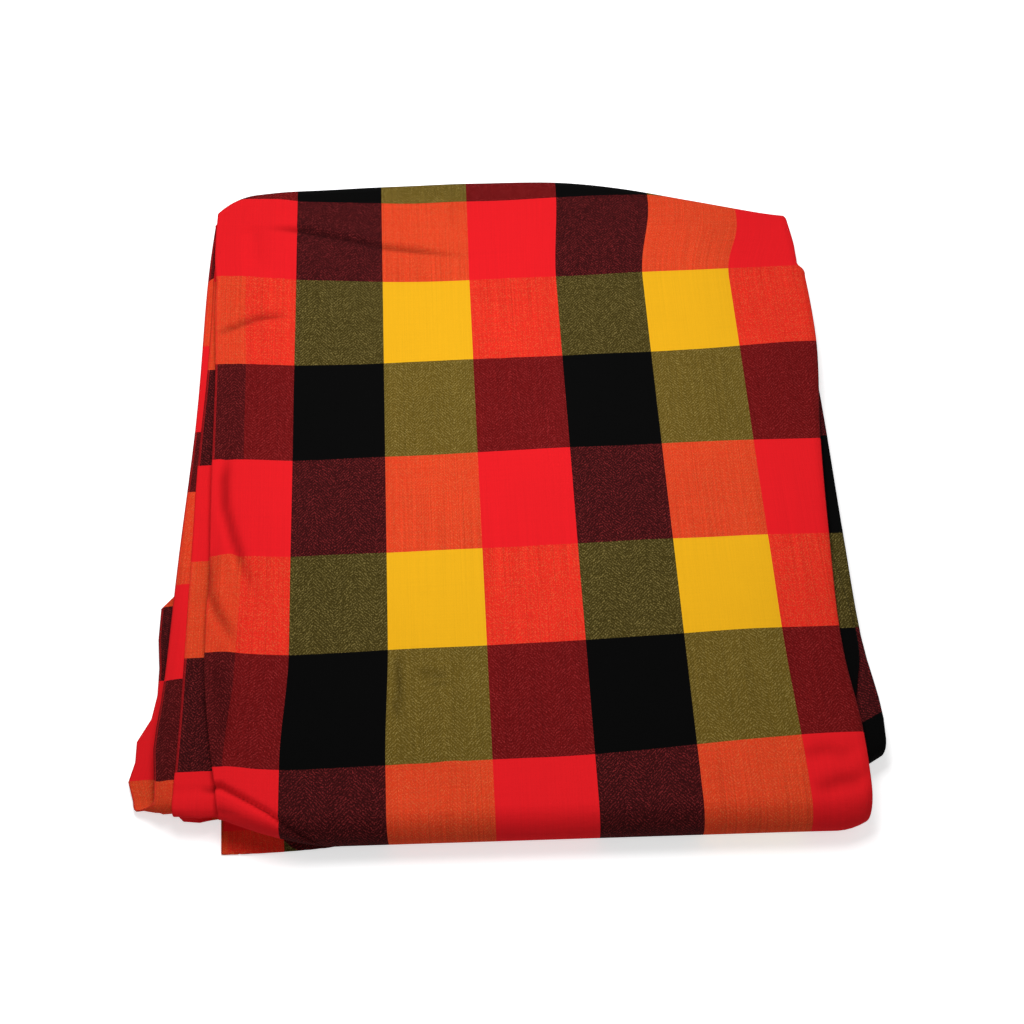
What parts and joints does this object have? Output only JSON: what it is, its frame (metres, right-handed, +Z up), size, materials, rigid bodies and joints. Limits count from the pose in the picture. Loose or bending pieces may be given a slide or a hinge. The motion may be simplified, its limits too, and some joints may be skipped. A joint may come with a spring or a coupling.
{
  "type": "folded checked cotton shuka blanket",
  "caption": "One sheet of checked twill cotton cloth, folded both ways into a flat, soft-cornered pack that lies on a surface.",
  "frame": {"origin": "centre of the pack's footprint, on the surface that it lies on", "axes": "+X to the pack's right, +Y to its back, away from the outer fold at the front, +Z up"},
  "size_m": [0.42, 0.448, 0.0302],
  "materials": {
    "checked_cotton": "matte twill weave"
  },
  "bodies": {
    "root": {"shuka": "checked_cotton"}
  },
  "joints": []
}
